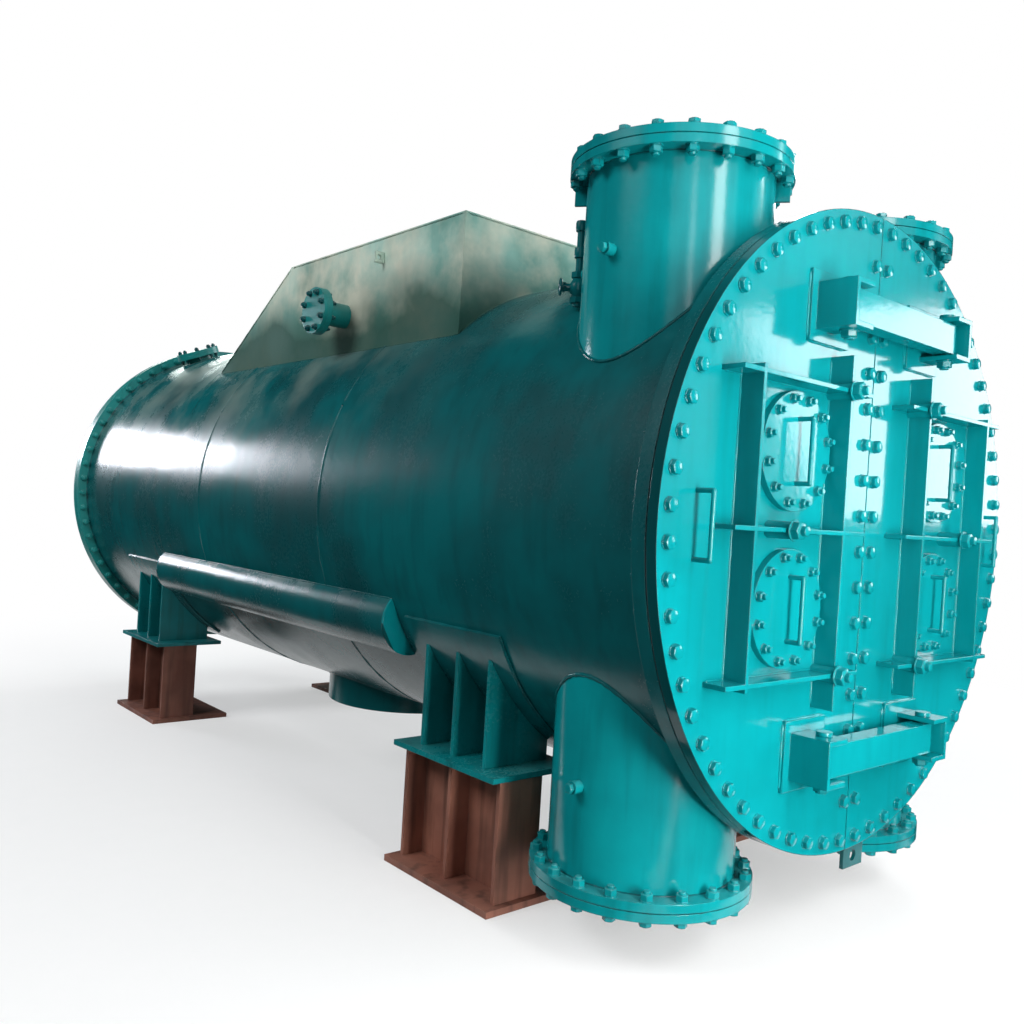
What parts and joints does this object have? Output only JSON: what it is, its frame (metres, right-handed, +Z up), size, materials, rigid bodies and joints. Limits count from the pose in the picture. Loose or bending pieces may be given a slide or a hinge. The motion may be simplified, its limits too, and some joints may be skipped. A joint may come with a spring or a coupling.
{
  "type": "heat exchanger",
  "caption": "Horizontal shell and tube heat exchanger with flanged water nozzles, a steam hood, hinged half doors on the water box and a saddle on stub stands.",
  "frame": {"origin": "centre of the bounding box's underside, on the floor under the shell axis", "axes": "+X to the right seen from the door end, +Y from the doors to the rear cover, +Z up"},
  "size_m": [2.1798, 5.526, 2.625],
  "materials": {
    "shell_paint": "dark teal machine paint",
    "flange_paint": "teal machine paint",
    "inner_coating": "grey coating inside the water box",
    "tube_sheet_metal": "rolled tube sheet",
    "door_paint": "bright teal gloss paint",
    "nozzle_paint": "teal paint",
    "hood_paint": "thin dusty teal paint",
    "saddle_paint": "teal paint",
    "primer": "red brown primer",
    "gasket": "black sheet rubber"
  },
  "bodies": {
    "root": {"shell_barrel": "shell_paint", "front_flange": "shell_paint", "rear_flange": "flange_paint", "flange_gaskets": "gasket", "rear_cover": "flange_paint", "rear_cover_ribs": "flange_paint", "partition_plates": "inner_coating", "tube_sheet": "tube_sheet_metal", "right_door": "door_paint", "right_door_ribs": "door_paint", "right_manhole_covers": "door_paint", "right_grips": "door_paint", "right_link_brackets": "door_paint", "right_pins": "door_paint", "upper_nozzles": "nozzle_paint", "upper_counter_flanges": "nozzle_paint", "lower_nozzles": "nozzle_paint", "lower_counter_flanges": "nozzle_paint", "nozzle_gaskets": "gasket", "nozzle_couplings": "nozzle_paint", "lifting_ears": "nozzle_paint", "hood_walls": "hood_paint", "hood_top_plate": "hood_paint", "hood_stubs": "flange_paint", "hood_stub_blinds": "flange_paint", "hood_lugs": "hood_paint", "vent_nozzle": "flange_paint", "vent_blind": "flange_paint", "side_pipes": "shell_paint", "side_pipe_caps": "door_paint", "hotwell": "shell_paint", "saddle_pads": "shell_paint", "saddles": "saddle_paint", "saddle_base_plates": "saddle_paint", "stands": "primer", "stand_base_plates": "primer", "jacking_plate": "shell_paint"},
    "links": {"links": "door_paint", "left_pins": "door_paint"},
    "left_door": {"left_door": "door_paint", "left_door_ribs": "door_paint", "left_manhole_covers": "door_paint", "left_grips": "door_paint", "left_link_brackets": "door_paint"}
  },
  "joints": [
    {"name": "link_swing", "type": "hinge", "parent": "root", "child": "links", "pos_m": [0.33, -2.703, 1.4], "axis": [0, 0, 1], "range_deg": [0, 100]},
    {"name": "door_swing", "type": "hinge", "parent": "links", "child": "left_door", "pos_m": [-0.33, -2.703, 1.4], "axis": [0, 0, 1], "range_deg": [0, 25]}
  ],
  "couplings": [
    {"joint": "door_swing", "follows": "link_swing", "ratio": 0.25}
  ]
}
